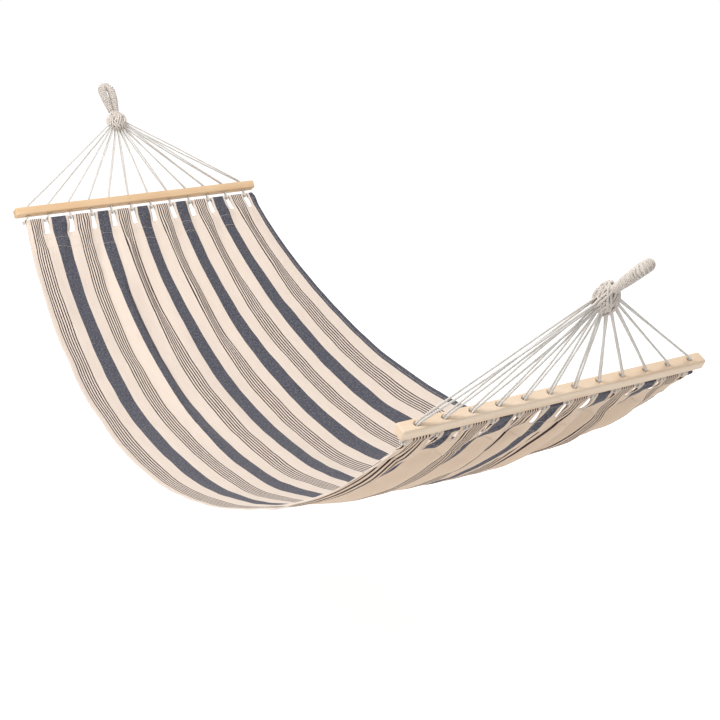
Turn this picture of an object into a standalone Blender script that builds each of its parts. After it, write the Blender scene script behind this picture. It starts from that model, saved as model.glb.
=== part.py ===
"""Striped fabric hammock with two wooden spreader bars.

A woven cotton bed hangs between two drilled wooden bars.  Twelve doubled cords
run from each bar to a clew knot, and each knot ends in a whipped rope eye that
drops over a hook.  Units are metres, +Z is up, +X runs from the head end to the
foot end and +Y runs along the bars.  The origin is under the middle of the
hammock, at the height of the lowest point of the bed.
"""

import math

import bmesh
import bpy
from mathutils import Matrix, Vector

# ---------------------------------------------------------------- dimensions
BAR_SPAN = 1.950          # between the hole rows of the two bars, along X
MIDDLE_X = -0.0149        # halfway between the bars; the foot eye leans out further
END_RISE = 0.150          # the head bar hangs this much higher than the foot bar
BAR_LENGTH = 0.800
BAR_WIDTH = 0.030         # across the holes
BAR_THICKNESS = 0.025     # along the holes
BAR_ROUND = 0.004
HOLE_COUNT = 12
HOLE_PITCH = 0.0656
HOLE_RADIUS = 0.0058

FAN_ANGLE = math.radians(60.0)   # holes and fans lean this far above horizontal
FAN_REACH = 0.262                # bar centre to the middle of the clew knot
STRAND_RADIUS = 0.0025           # one strand of a doubled cord
STRAND_OFFSET = 0.0029           # each strand sits this far from the cord's middle
STRAND_SPLAY = 0.0003            # added to the offset where the strands meet the knot
STRAIGHT_RUN = 0.002             # cords run straight this far beyond each end of a hole

HEM_DROP = 0.0300                # bar centre to hem cord, along the hole axis
HEM_CORD_RADIUS = 0.0030
HEM_CORD_LENGTH = 0.772
LOOP_RADIUS = 0.0064             # middle of a strand where it turns round the hem cord
HALF_TURN_STEPS = 4              # for the cord's loop and for the cloth's wrap

KNOT_RADIUS = 0.0282
KNOT_RIB = 0.0016                # depth of the grooves between ribs
KNOT_GROOVES = 5                 # from pole to pole
KNOT_STEPS = 24                  # along the profile
KNOT_TURN_STEPS = 20             # round the axis
CORD_START = 0.0302              # cords leave the knot this far from its middle
CORD_SPREAD = math.radians(75.0)

HEAD_EYE_ANGLE = math.radians(58.0)   # each eye leans out this far above horizontal
FOOT_EYE_ANGLE = math.radians(39.0)
EYE_START = 0.0312               # middle of the knot to the throat of the eye
EYE_THROAT_Y = 0.0130            # legs of the eye at the throat, from the middle
EYE_HALF_WIDTH = 0.0187          # legs of the eye at the crown, from the middle
EYE_ROPE_START = 0.0004          # the rope starts this far above the throat
EYE_LEG = 0.0740                 # throat to the start of the crown's arc
CROWN_FLAT = 0.0055              # the turn under the hook reaches this far each side
CORE_RADIUS = 0.0052
WHIP_INNER = 0.0058              # bore of the whipping
WHIP_RIB = 0.0124
WHIP_GROOVE = 0.0108
CORE_STATIONS = 21
WHIP_STATIONS = 58
WHIP_SIDES = 8
LEG_SAMPLES = 400                # fine steps used to measure along the eye
CROWN_SAMPLES = 200

SHEET = 0.0020                   # fabric solid, including its turned seams
LAYER_OFFSET = 0.0013            # each layer of the doubled hem, from the middle
WRAP_RADIUS = 0.0048             # fabric turning over the hem cord
HEM_DEPTH = 0.110
WINDOW_DEPTH = 0.060             # the gaps between tabs reach this far into the bed
WINDOW_HALF = 0.0080
HEM_WIDTH = 0.782
MID_WIDTH = 0.954
SAG = 0.3945                     # of the bed's edges, below the line between hems
BELLY = 0.065                    # extra sag along the middle
BELLY_POWER = 0.8                # below 1 the belly fills out faster from the hems
CATENARY = 1.36
BED_STEPS = 15                   # between the two hems

HEM_IN = HEM_DROP * math.cos(FAN_ANGLE)
HEM_DOWN = HEM_DROP * math.sin(FAN_ANGLE)
CHORD = BAR_SPAN - 2.0 * HEM_IN


def hole_y(index):
    """Across-bar place of cord number index, counted from 0 at the -Y end."""
    return (index - (HOLE_COUNT - 1) / 2.0) * HOLE_PITCH


def bed_middle(t, v):
    """Point on the middle of the sheet: t is -1 at the head hem and 1 at the
    foot hem, v is -1 and 1 at the side edges.  Height counts from the mean
    height of the bars."""
    arch = max(0.0, math.sin(math.pi * (t + 1.0) / 2.0))
    curve = (math.cosh(CATENARY * t) - math.cosh(CATENARY)) / (math.cosh(CATENARY) - 1.0)
    width = HEM_WIDTH + (MID_WIDTH - HEM_WIDTH) * arch
    belly = BELLY * arch ** BELLY_POWER * (1.0 - v * v)
    z = -HEM_DOWN - END_RISE / 2.0 * t + SAG * curve - belly
    return Vector((t * CHORD / 2.0, v * width / 2.0, z))


# Mean height of the bars above the underside of the bed's lowest point.
MIDDLE_LOW = min(bed_middle(-1.0 + i / 500.0, 0.0).z for i in range(1001))
BAR_Z = LAYER_OFFSET + SHEET / 2.0 - MIDDLE_LOW


# ------------------------------------------------------------- scene helpers
def clear_scene():
    for leftover in list(bpy.data.objects):
        bpy.data.objects.remove(leftover, do_unlink=True)


def new_collection(name):
    collection = bpy.data.collections.new(name)
    bpy.context.scene.collection.children.link(collection)
    return collection


def new_material(name, colour, roughness):
    mat = bpy.data.materials.new(name)
    mat.use_nodes = True
    shader = mat.node_tree.nodes["Principled BSDF"]
    shader.inputs["Base Color"].default_value = (*colour, 1.0)
    shader.inputs["Roughness"].default_value = roughness
    mat.diffuse_color = (*colour, 1.0)
    return mat


clear_scene()
PARTS = new_collection("striped_hammock")
CUTTERS = new_collection("cutters")

WOOD = new_material("pale_hardwood", colour=(0.72, 0.50, 0.30), roughness=0.55)
CORD = new_material("cotton_cord", colour=(0.78, 0.74, 0.68), roughness=0.90)
WHIP = new_material("whipping_cord", colour=(0.80, 0.74, 0.66), roughness=0.90)
CLOTH = new_material("striped_cotton", colour=(0.84, 0.76, 0.66), roughness=0.95)
HEM_CORD = new_material("hem_cord", colour=(0.74, 0.70, 0.64), roughness=0.90)


def add_empty(name, matrix, parent=None):
    """Marker at a world matrix, measured in its parent's frame if it has one."""
    marker = bpy.data.objects.new(name, None)
    marker.empty_display_size = 0.05
    PARTS.objects.link(marker)
    if parent is not None:
        marker.parent = parent
        matrix = parent.matrix_world.inverted() @ matrix
    marker.matrix_local = matrix
    bpy.context.view_layer.update()
    return marker


def add_piece(name, data, parent, matrix=Matrix.Identity(4), collection=PARTS):
    """Object at matrix, measured in its parent's frame."""
    piece = bpy.data.objects.new(name, data)
    collection.objects.link(piece)
    piece.parent = parent
    piece.matrix_local = matrix
    return piece


def finish_mesh(name, bm, mat=None):
    mesh = bpy.data.meshes.new(name)
    bm.to_mesh(mesh)
    bm.free()
    if mat is not None:
        mesh.materials.append(mat)
    return mesh


def rope_curve(name, places, radius, resolution):
    """Round cotton rope through the given places, with capped ends."""
    curve = bpy.data.curves.new(name, "CURVE")
    curve.dimensions = "3D"
    curve.bevel_depth = radius
    curve.bevel_resolution = resolution
    curve.use_fill_caps = True
    spline = curve.splines.new("POLY")
    spline.points.add(len(places) - 1)
    for point, place in zip(spline.points, places):
        point.co = (*place, 1.0)
    curve.materials.append(CORD)
    return curve


# ------------------------------------------------------------ bars and cords
def bar_mesh():
    """Rounded rectangular bar along Y, not yet drilled."""
    bm = bmesh.new()
    bmesh.ops.create_cube(bm, size=1.0)
    bmesh.ops.scale(bm, vec=(BAR_WIDTH, BAR_LENGTH, BAR_THICKNESS), verts=bm.verts)
    bmesh.ops.bevel(bm, geom=bm.edges[:], offset=BAR_ROUND, segments=2, profile=0.6,
                    affect="EDGES")
    return finish_mesh("spreader_bar", bm, WOOD)


def drill_mesh():
    """The row of drills along Z that makes the cord holes."""
    bm = bmesh.new()
    for i in range(HOLE_COUNT):
        bmesh.ops.create_cone(bm, cap_ends=True, segments=14, radius1=HOLE_RADIUS,
                              radius2=HOLE_RADIUS, depth=BAR_THICKNESS * 2.0,
                              matrix=Matrix.Translation((0.0, hole_y(i), 0.0)))
    return finish_mesh("bar_drill", bm)


def add_bar(end, bar_data, drill_data, frame):
    drill = add_piece(end + "_bar_drill", drill_data, frame, collection=CUTTERS)
    drill.hide_render = True
    drill.display_type = "WIRE"
    bar = add_piece(end + "_spreader_bar", bar_data, frame)
    cut = bar.modifiers.new("cord_holes", "BOOLEAN")
    cut.operation = "DIFFERENCE"
    cut.object = drill


def cord_curve(name, y):
    """One doubled cord in the bar's frame: down from the knot, through its hole,
    round the hem cord and back up beside itself."""
    spread = CORD_SPREAD * y / hole_y(HOLE_COUNT - 1)
    top = Vector((0.0, CORD_START * math.sin(spread),
                  FAN_REACH - CORD_START * math.cos(spread)))
    splay = Vector((STRAND_OFFSET + STRAND_SPLAY, 0.0, 0.0))
    above = BAR_THICKNESS / 2.0 + STRAIGHT_RUN
    places = [top + splay, Vector((STRAND_OFFSET, y, above)), Vector((STRAND_OFFSET, y, -above))]
    for k in range(HALF_TURN_STEPS + 1):
        angle = math.pi * k / HALF_TURN_STEPS
        places.append(Vector((LOOP_RADIUS * math.cos(angle), y,
                              -HEM_DROP - LOOP_RADIUS * math.sin(angle))))
    places += [Vector((-STRAND_OFFSET, y, -above)), Vector((-STRAND_OFFSET, y, above)),
               top - splay]
    return rope_curve(name, places, STRAND_RADIUS, resolution=1)


def add_cords(end, frame):
    # the foot frame is turned half round, so its own Y runs the other way
    side = 1.0 if end == "head" else -1.0
    for i in range(HOLE_COUNT):
        name = "%s_cord_%02d" % (end, i + 1)
        add_piece(name, cord_curve(name, side * hole_y(i)), frame)


def add_hem_cord(end, frame, place):
    bm = bmesh.new()
    bmesh.ops.create_cone(bm, cap_ends=True, segments=12, radius1=HEM_CORD_RADIUS,
                          radius2=HEM_CORD_RADIUS, depth=HEM_CORD_LENGTH)
    along_y = Matrix.Rotation(math.pi / 2.0, 4, "X")
    name = end + "_hem_cord"
    add_piece(name, finish_mesh(name, bm, HEM_CORD), frame, Matrix.Translation(place) @ along_y)


# ---------------------------------------------------------------- clew knots
def knot_mesh():
    """Profile of the clew knot, a ribbed ball, from its top pole to its bottom."""
    bm = bmesh.new()
    last = None
    for i in range(KNOT_STEPS + 1):
        angle = math.pi * i / KNOT_STEPS
        groove = 0.5 - 0.5 * math.cos(angle * 2.0 * KNOT_GROOVES)
        radius = KNOT_RADIUS - KNOT_RIB * groove
        x = 0.0 if i in (0, KNOT_STEPS) else radius * math.sin(angle)
        vert = bm.verts.new((x, 0.0, radius * math.cos(angle)))
        if last is not None:
            bm.edges.new((last, vert))
        last = vert
    return finish_mesh("clew_knot", bm, WHIP)


def add_knot(end, data, frame):
    screw = add_piece(end + "_clew_knot", data, frame).modifiers.new("turn", "SCREW")
    screw.axis = "Z"
    screw.angle = 2.0 * math.pi
    screw.steps = KNOT_TURN_STEPS
    screw.render_steps = KNOT_TURN_STEPS
    screw.use_merge_vertices = True
    screw.merge_threshold = 0.00001
    screw.use_smooth_shade = True


# ---------------------------------------------------------------------- eyes
def eye_path(count, crown=None):
    """Middle line of the eye's rope, in the plane of the eye: up one leg, over
    the crown and down the other, as count (point, tangent) pairs.  They are
    evenly spaced, apart from a gap of twice crown over the top if it is given."""
    leg = []
    for i in range(LEG_SAMPLES + 1):
        z = EYE_ROPE_START + (EYE_LEG - EYE_ROPE_START) * i / LEG_SAMPLES
        y = EYE_THROAT_Y + (EYE_HALF_WIDTH - EYE_THROAT_Y) * math.sin(math.pi / 2.0 * z / EYE_LEG)
        leg.append(Vector((0.0, -y, z)))
    fine = list(leg)
    for i in range(1, CROWN_SAMPLES):
        angle = math.pi * i / CROWN_SAMPLES
        fine.append(Vector((0.0, -EYE_HALF_WIDTH * math.cos(angle),
                            EYE_LEG + EYE_HALF_WIDTH * math.sin(angle))))
    fine += [Vector((0.0, -p.y, p.z)) for p in reversed(leg)]

    run = [0.0]               # distance along the path at each fine point
    for start, stop in zip(fine, fine[1:]):
        run.append(run[-1] + (stop - start).length)
    if crown is None:
        wanted = [run[-1] * i / (count - 1) for i in range(count)]
    else:
        half = count // 2
        wanted = [(run[-1] / 2.0 - crown) * i / (half - 1) for i in range(half)]
        wanted += [run[-1] - distance for distance in reversed(wanted)]

    path = []
    k = 0
    for distance in wanted:
        while k < len(run) - 2 and run[k + 1] < distance:
            k += 1
        part = (distance - run[k]) / (run[k + 1] - run[k])
        path.append((fine[k].lerp(fine[k + 1], part), (fine[k + 1] - fine[k]).normalized()))
    return path


def eye_ring(place, tangent, radius):
    """Loop of points round the rope, with a flat side towards the opening."""
    across = Vector((1.0, 0.0, 0.0))
    inward = tangent.cross(across)
    angles = ((j + 0.5) * 2.0 * math.pi / WHIP_SIDES for j in range(WHIP_SIDES))
    return [place + radius * (math.cos(a) * inward + math.sin(a) * across) for a in angles]


def core_curve():
    places = [place for place, _ in eye_path(CORE_STATIONS)]
    return rope_curve("eye_core", places, CORE_RADIUS, resolution=2)


def whipping_mesh():
    """Sleeve of close cord turns round the eye's core, one rib to a turn, with a
    broad flattened turn at the crown where the hook bears."""
    half = WHIP_STATIONS // 2
    rings = []
    for k, (place, tangent) in enumerate(eye_path(WHIP_STATIONS, CROWN_FLAT)):
        from_crown = half - 1 - k if k < half else k - half
        radius = WHIP_RIB if from_crown % 2 == 0 else WHIP_GROOVE
        rings.append(eye_ring(place, tangent, radius))
    rings += [eye_ring(place, tangent, WHIP_INNER) for place, tangent in eye_path(CORE_STATIONS)]

    bm = bmesh.new()
    rows = [[bm.verts.new(p) for p in ring] for ring in rings]
    # out along the outside, back along the bore and closed onto the first ring
    circuit = rows[:WHIP_STATIONS] + rows[WHIP_STATIONS:][::-1]
    for near, far in zip(circuit, circuit[1:] + circuit[:1]):
        for j in range(WHIP_SIDES):
            k = (j + 1) % WHIP_SIDES
            bm.faces.new((near[j], near[k], far[k], far[j]))
    bmesh.ops.recalc_face_normals(bm, faces=bm.faces[:])
    return finish_mesh("eye_whipping", bm, WHIP)


# ----------------------------------------------------------------------- bed
def bed_columns():
    """Side-to-side places of the cloth's columns, as v from -1 to 1.  Even cells
    are gaps and odd cells tabs: cord 1 sits in a corner notch at the -Y edge,
    every other cord has a window, and a narrow last tab lies beyond cord 12."""
    columns = [-HEM_WIDTH / 2.0, hole_y(0) + WINDOW_HALF]
    for i in range(1, HOLE_COUNT):
        columns += [hole_y(i) - WINDOW_HALF, hole_y(i) + WINDOW_HALF]
    columns.append(HEM_WIDTH / 2.0)
    return [y / (HEM_WIDTH / 2.0) for y in columns]


def sheet_point(t, v, offset):
    """Point this far above the middle of the sheet, square to it."""
    t_step = 0.002
    v_step = 0.01
    along = bed_middle(min(1.0, t + t_step), v) - bed_middle(max(-1.0, t - t_step), v)
    if -0.95 < t < 0.95:
        across = bed_middle(t, v + v_step) - bed_middle(t, v - v_step)
    else:
        across = Vector((0.0, 1.0, 0.0))   # close to the hems the sheet lies level across
    return bed_middle(t, v) + along.cross(across).normalized() * offset


def layer_offset(depth):
    """Half the gap between hem layers, widening from the windows' end to the cord."""
    return LAYER_OFFSET + (WRAP_RADIUS - LAYER_OFFSET) * max(0.0, 1.0 - depth / WINDOW_DEPTH)


def hem_rows(sign, columns):
    """Rows of one hem, from the flap's free edge, round the hem cord, to the main
    sheet, as (depth from the hem, points), and the size of t where the hem ends.
    The sign is -1 at the head and 1 at the foot."""
    t_step = 0.001
    run = (bed_middle(sign * (1.0 - t_step), 1.0) - bed_middle(sign, 1.0)).length / t_step

    def flat_row(depth, side):
        t = sign * (1.0 - depth / run)
        return depth, [sheet_point(t, v, side * layer_offset(depth)) for v in columns]

    inward = bed_middle(sign * 0.998, 0.99) - bed_middle(sign, 0.99)
    inward.y = 0.0
    inward.normalize()
    upward = Vector((-inward.z, 0.0, inward.x)) * (-sign)

    depths = (WINDOW_DEPTH / 2.0, WINDOW_DEPTH, HEM_DEPTH)
    rows = [flat_row(depth, -1.0) for depth in reversed(depths)]
    for k in range(HALF_TURN_STEPS, -1, -1):
        angle = math.pi * k / HALF_TURN_STEPS
        shift = WRAP_RADIUS * (upward * math.cos(angle) - inward * math.sin(angle))
        rows.append((0.0, [bed_middle(sign, v) + shift for v in columns]))
    rows += [flat_row(depth, 1.0) for depth in depths]
    return rows, 1.0 - HEM_DEPTH / run


def bed_mesh():
    """The sheet as an open surface: the turned-under flap of the head hem, over
    the head hem cord, the whole bed, and the same again at the foot.  The cells
    between the tabs are left out down to the window depth."""
    columns = bed_columns()
    head, t_head = hem_rows(-1.0, columns)
    foot, t_foot = hem_rows(1.0, columns)
    middle = []
    for k in range(1, BED_STEPS):
        t = -t_head + (t_head + t_foot) * k / BED_STEPS
        middle.append((HEM_DEPTH, [sheet_point(t, v, LAYER_OFFSET) for v in columns]))
    rows = head + middle + foot[::-1]

    bm = bmesh.new()
    grid = [[bm.verts.new(p) for p in points] for _, points in rows]
    for r in range(len(rows) - 1):
        has_gaps = max(rows[r][0], rows[r + 1][0]) <= WINDOW_DEPTH
        for c in range(len(columns) - 1):
            if has_gaps and c % 2 == 0:
                continue
            bm.faces.new((grid[r][c], grid[r][c + 1], grid[r + 1][c + 1], grid[r + 1][c]))
    # the corner notches leave points with no cloth
    loose = [v for v in bm.verts if not v.link_faces]
    bmesh.ops.delete(bm, geom=loose, context="VERTS")
    return finish_mesh("fabric_bed", bm, CLOTH)


def add_bed(frame, place):
    bed = add_piece("fabric_bed", bed_mesh(), frame, Matrix.Translation(place))
    thick = bed.modifiers.new("cloth_thickness", "SOLIDIFY")
    thick.thickness = SHEET
    thick.offset = 0.0
    thick.use_rim = True


# ----------------------------------------------------------------- placement
def end_matrix(is_foot, angle, place):
    """Frame whose +Z leans out over the hammock's end at angle above horizontal.
    The foot end is the head end turned half a turn about the vertical."""
    half_turn = Matrix.Rotation(math.pi, 4, "Z") if is_foot else Matrix.Identity(4)
    lean = Matrix.Rotation(angle - math.pi / 2.0, 4, "Y")
    return Matrix.Translation(place) @ half_turn @ lean


def end_places(is_foot, eye_angle):
    """Bar centre, knot, throat and hem cord of one end, in world coordinates."""
    sign = 1.0 if is_foot else -1.0
    bar = Vector((MIDDLE_X + sign * BAR_SPAN / 2.0, 0.0, BAR_Z - sign * END_RISE / 2.0))
    fan = Vector((sign * math.cos(FAN_ANGLE), 0.0, math.sin(FAN_ANGLE)))
    lean = Vector((sign * math.cos(eye_angle), 0.0, math.sin(eye_angle)))
    knot = bar + FAN_REACH * fan
    return bar, knot, knot + EYE_START * lean, bar - HEM_DROP * fan


head_bar, head_knot, head_throat, head_hem = end_places(False, HEAD_EYE_ANGLE)
foot_bar, foot_knot, foot_throat, foot_hem = end_places(True, FOOT_EYE_ANGLE)

# The eyes stay on their hooks.  Everything else swings about the line through
# the two clew knots; fan, bed and far fan hang below it as a four-bar chain.
hooks = add_empty("hook_line", Matrix.Translation(head_knot))
swing = add_empty("swing_axis", Matrix.Translation(head_knot), hooks)
head_clew = add_empty("head_clew_pivot", end_matrix(False, FAN_ANGLE, head_knot), swing)
head_fan = add_empty("head_fan_frame", end_matrix(False, FAN_ANGLE, head_bar), head_clew)
bed_frame = add_empty("head_hem_axis", Matrix.Translation(head_hem), head_fan)
foot_axis = add_empty("foot_hem_axis", Matrix.Translation(foot_hem), bed_frame)
foot_fan = add_empty("foot_fan_frame", end_matrix(True, FAN_ANGLE, foot_bar), foot_axis)
foot_clew = add_empty("foot_clew_pivot", end_matrix(True, FAN_ANGLE, foot_knot), foot_fan)
head_eye = add_empty("head_eye_frame", end_matrix(False, HEAD_EYE_ANGLE, head_throat), hooks)
foot_eye = add_empty("foot_eye_frame", end_matrix(True, FOOT_EYE_ANGLE, foot_throat), hooks)

# Both ends share these.
bar_data = bar_mesh()
drill_data = drill_mesh()
knot_data = knot_mesh()
core_data = core_curve()
whipping_data = whipping_mesh()

for end, fan_frame, clew_frame, eye_frame, hem_place in (
        ("head", head_fan, head_clew, head_eye, head_hem),
        ("foot", foot_fan, foot_clew, foot_eye, foot_hem)):
    add_bar(end, bar_data, drill_data, fan_frame)
    add_cords(end, fan_frame)
    add_knot(end, knot_data, clew_frame)
    add_piece(end + "_eye_core", core_data, eye_frame)
    add_piece(end + "_eye_whipping", whipping_data, eye_frame)
    add_hem_cord(end, bed_frame, hem_place - head_hem)

add_bed(bed_frame, Vector((MIDDLE_X, 0.0, BAR_Z)) - head_hem)
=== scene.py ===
"""Looks of a striped hammock: laid cords, whipped eyes, drilled wooden bars and a
draped cotton bed with double hems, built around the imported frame.

The hammock runs along X with its head at -X and its foot at +X; Y runs across the
bed and Z is up. Sizes are in metres. The front edge of the bed is the one at -Y."""

import math

import bmesh
import bpy
import numpy as np
from mathutils import Matrix, Vector


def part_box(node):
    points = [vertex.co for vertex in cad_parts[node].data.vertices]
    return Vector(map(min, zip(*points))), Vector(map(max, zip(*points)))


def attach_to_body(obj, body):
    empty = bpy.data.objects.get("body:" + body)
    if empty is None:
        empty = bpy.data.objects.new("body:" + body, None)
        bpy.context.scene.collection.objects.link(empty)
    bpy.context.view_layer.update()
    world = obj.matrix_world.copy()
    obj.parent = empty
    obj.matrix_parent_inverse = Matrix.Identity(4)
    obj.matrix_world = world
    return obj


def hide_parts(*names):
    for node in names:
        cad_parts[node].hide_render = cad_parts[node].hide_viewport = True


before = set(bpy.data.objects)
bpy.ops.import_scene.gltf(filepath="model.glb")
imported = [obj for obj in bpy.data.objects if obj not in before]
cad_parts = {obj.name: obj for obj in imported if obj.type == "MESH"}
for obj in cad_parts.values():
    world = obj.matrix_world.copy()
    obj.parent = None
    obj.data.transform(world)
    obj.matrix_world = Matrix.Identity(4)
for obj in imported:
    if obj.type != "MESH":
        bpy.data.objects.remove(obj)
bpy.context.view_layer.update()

RNG = np.random.default_rng(20)      # gives each rope its own number for the shader
TAU = 2.0 * math.pi
Y = np.array([0.0, 1.0, 0.0])
HOLES = 12
HOLE_PITCH = 0.0656
THROAT_RISE = 0.0312                 # knot's middle to the throat of the eye
EYE_LEAN = {"head": math.radians(58.0), "foot": math.radians(39.0)}    # above level


def unit(vector):
    vector = np.asarray(vector, float)
    return vector / np.linalg.norm(vector)


def middle(node):
    low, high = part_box(node)
    return np.array((low + high) / 2.0)


def from_centre(i):
    """Hole i counted from the middle of the row, in pitches."""
    return i - (HOLES - 1) / 2.0


def hole_y(i):
    return from_centre(i) * HOLE_PITCH


class End:
    """One end of the hammock: bar, knot and hem, with the directions of its fan."""

    def __init__(self, name):
        self.name = name
        sign = -1.0 if name == "head" else 1.0
        self.bar = middle(name + "_spreader_bar")
        self.knot = middle(name + "_clew_knot")
        self.hem = middle(name + "_hem_cord")
        self.fan = unit((self.knot - self.bar) * (1, 0, 1))
        self.up = np.array([-sign * self.fan[2], 0.0, abs(self.fan[0])])   # inwards and up
        self.reach = float(np.linalg.norm(self.knot - self.bar))
        self.drop = float(np.linalg.norm(self.hem - self.bar))
        lean = EYE_LEAN[name]
        self.eye = np.array([sign * math.cos(lean), 0.0, math.sin(lean)])
        self.eye_up = np.array([-sign * math.sin(lean), 0.0, math.cos(lean)])
        self.throat = self.knot + THROAT_RISE * self.eye

    def at(self, x, y, z):
        """Point in the bar's frame: x inwards and up, y along the bar, z out along the fan."""
        return self.bar + x * self.up + y * Y + z * self.fan


ENDS = [End("head"), End("foot")]
HEAD, FOOT = ENDS
BAR_Z = (HEAD.bar[2] + FOOT.bar[2]) / 2.0
RISE = HEAD.bar[2] - FOOT.bar[2]
MIDDLE_X = (HEAD.bar[0] + FOOT.bar[0]) / 2.0


# ------------------------------------------------------------------ mesh helpers
def make_object(name, verts, faces, material, attributes=None):
    mesh = bpy.data.meshes.new(name)
    mesh.from_pydata([tuple(v) for v in np.asarray(verts, float)], [], faces)
    mesh.validate()
    mesh.update()
    mesh.shade_smooth()
    for key, values in (attributes or {}).items():
        attribute = mesh.attributes.new(key, "FLOAT_VECTOR", "POINT")
        attribute.data.foreach_set("vector", np.asarray(values, np.float32).ravel())
    mesh.materials.append(material)
    return link_object(name, mesh)


def link_object(name, mesh):
    obj = bpy.data.objects.new(name, mesh)
    bpy.context.scene.collection.objects.link(obj)
    return obj


def bake_modifiers(obj):
    """Replace the object's mesh by what its modifiers make of it."""
    bpy.context.view_layer.update()
    graph = bpy.context.evaluated_depsgraph_get()
    mesh = bpy.data.meshes.new_from_object(obj.evaluated_get(graph))
    obj.modifiers.clear()
    obj.data = mesh
    return mesh


def attach(obj, body, part=None):
    """Tell the frame which body carries the object, and which CAD part it replaces."""
    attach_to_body(obj, body)
    if part:
        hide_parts(part)


def smoothstep(x):
    x = np.clip(x, 0.0, 1.0)
    return x * x * (3.0 - 2.0 * x)


def run_lengths(points):
    return np.r_[0.0, np.cumsum(np.linalg.norm(np.diff(points, axis=0), axis=1))]


def sample(points, run, places):
    """Values of a path at some places along its running length."""
    return np.stack([np.interp(places, run, points[:, k]) for k in range(3)], 1)


def resample(points, step=None, count=None):
    run = run_lengths(points)
    count = count or max(3, int(round(run[-1] / step)) + 1)
    return sample(points, run, np.linspace(0.0, run[-1], count))


def corner_cut(points, rounds):
    points = np.asarray(points, float)
    for _ in range(rounds):
        cut = np.empty((2 * len(points), 3))
        cut[0], cut[-1] = points[0], points[-1]
        cut[1:-1:2] = 0.75 * points[:-1] + 0.25 * points[1:]
        cut[2::2] = 0.25 * points[:-1] + 0.75 * points[1:]
        points = cut
    return points


def path_frames(points, first=(1.0, 0.0, 0.0), closed=False):
    """Tangents and rotation-minimising normals along a path."""
    if closed:
        tangents = np.roll(points, -1, 0) - np.roll(points, 1, 0)
    else:
        tangents = np.gradient(points, axis=0)
    tangents /= np.linalg.norm(tangents, axis=1)[:, None]
    normal = np.array(first)
    normal = normal - tangents[0] * (normal @ tangents[0])
    if np.linalg.norm(normal) < 1e-6:
        normal = np.cross(tangents[0], (0.3, 0.5, 0.8))
    normals = np.empty_like(points)
    normals[0] = normal / np.linalg.norm(normal)
    for i in range(len(points) - 1):
        # double reflection: first across the step, then onto the next tangent
        step = points[i + 1] - points[i]
        scale = 2.0 / (step @ step)
        normal = normals[i] - scale * (step @ normals[i]) * step
        tangent = tangents[i] - scale * (step @ tangents[i]) * step
        turn = tangents[i + 1] - tangent
        size = turn @ turn
        if size > 1e-18:
            normal = normal - (2.0 / size) * (turn @ normal) * turn
        normals[i + 1] = normal / np.linalg.norm(normal)
    return tangents, normals


def ring_faces(first, second, sides):
    """Band of quads between two rings, given by the index of their first points."""
    faces = []
    for j in range(sides):
        k = (j + 1) % sides
        faces.append((first + j, first + k, second + k, second + j))
    return faces


def rope(points, radius, pitch, step, sides=12, lobes=3, depth=0.26, closed=False,
         turn=0.0, taper=None):
    """Skin of a laid rope: a lobed section that turns as it runs along the path.
    Returns vertices, faces and (along, strand phase, random) for the shader."""
    if closed:
        loop = np.vstack([points, points[:1]])
        run = run_lengths(loop)
        total = run[-1]
        count = max(12, int(round(total / step)))
        along = np.linspace(0.0, total, count, endpoint=False)
        points = sample(loop, run, along)
    else:
        points = resample(points, step)
        count = len(points)
        along = run_lengths(points)
        total = along[-1]
    tangents, normals = path_frames(points, closed=closed)
    if closed:
        # the section meets itself: spread what is left over along the whole loop
        _, again = path_frames(np.vstack([points, points[:1]]), first=normals[0])
        last = again[-1]
        binormal = np.cross(tangents[0], normals[0])
        gap = math.atan2(last @ binormal, last @ normals[0])
        lobe = TAU / lobes
        full = round((TAU * total / pitch + gap) / lobe) * lobe - gap
        twist = full * along / total + turn
    else:
        twist = TAU * along / pitch + turn
    binormals = np.cross(tangents, normals)
    phi = np.arange(sides) * TAU / sides
    # the section's points turn with the rope, so every lobe keeps its own points
    angle = (twist[:, None] + phi[None, :])[..., None]
    wave = 0.5 - 0.5 * np.cos(lobes * phi)
    section = radius * (1.0 - depth * (1.0 - np.abs(1.0 - wave) ** 0.75))
    radii = np.broadcast_to(section[None, :], (count, sides)).copy()
    if taper is not None:
        radii *= taper(along / total)[:, None]
    verts = (points[:, None, :] + radii[..., None] * (np.cos(angle) * normals[:, None, :]
                                                      + np.sin(angle) * binormals[:, None, :]))
    verts = verts.reshape(-1, 3)
    faces = []
    for i in range(count if closed else count - 1):
        faces += ring_faces(i * sides, ((i + 1) % count) * sides, sides)
    fibre = np.stack([np.broadcast_to(along[:, None], (count, sides)),
                      np.broadcast_to((lobes * phi / TAU)[None, :], (count, sides)),
                      np.full((count, sides), RNG.random())], -1).reshape(-1, 3)
    if not closed:
        # a blunt point closes each end
        point = radius * 0.35
        verts = np.vstack([verts, points[:1] - tangents[:1] * point,
                           points[-1:] + tangents[-1:] * point])
        fibre = np.vstack([fibre, fibre[:1], fibre[-1:]])
        tip, tail = len(verts) - 2, len(verts) - 1
        last_ring = (count - 1) * sides
        for j in range(sides):
            k = (j + 1) % sides
            faces.append((tip, k, j))
            faces.append((tail, last_ring + j, last_ring + k))
    return verts, faces, fibre


def rope_object(name, parts, material, body, part):
    """One object from several rope skins."""
    verts, faces, fibres, base = [], [], [], 0
    for part_verts, part_faces, part_fibre in parts:
        verts.append(part_verts)
        fibres.append(part_fibre)
        faces += [tuple(i + base for i in face) for face in part_faces]
        base += len(part_verts)
    obj = make_object(name, np.vstack(verts), faces, material, {"fibre": np.vstack(fibres)})
    attach(obj, body, part)


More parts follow.
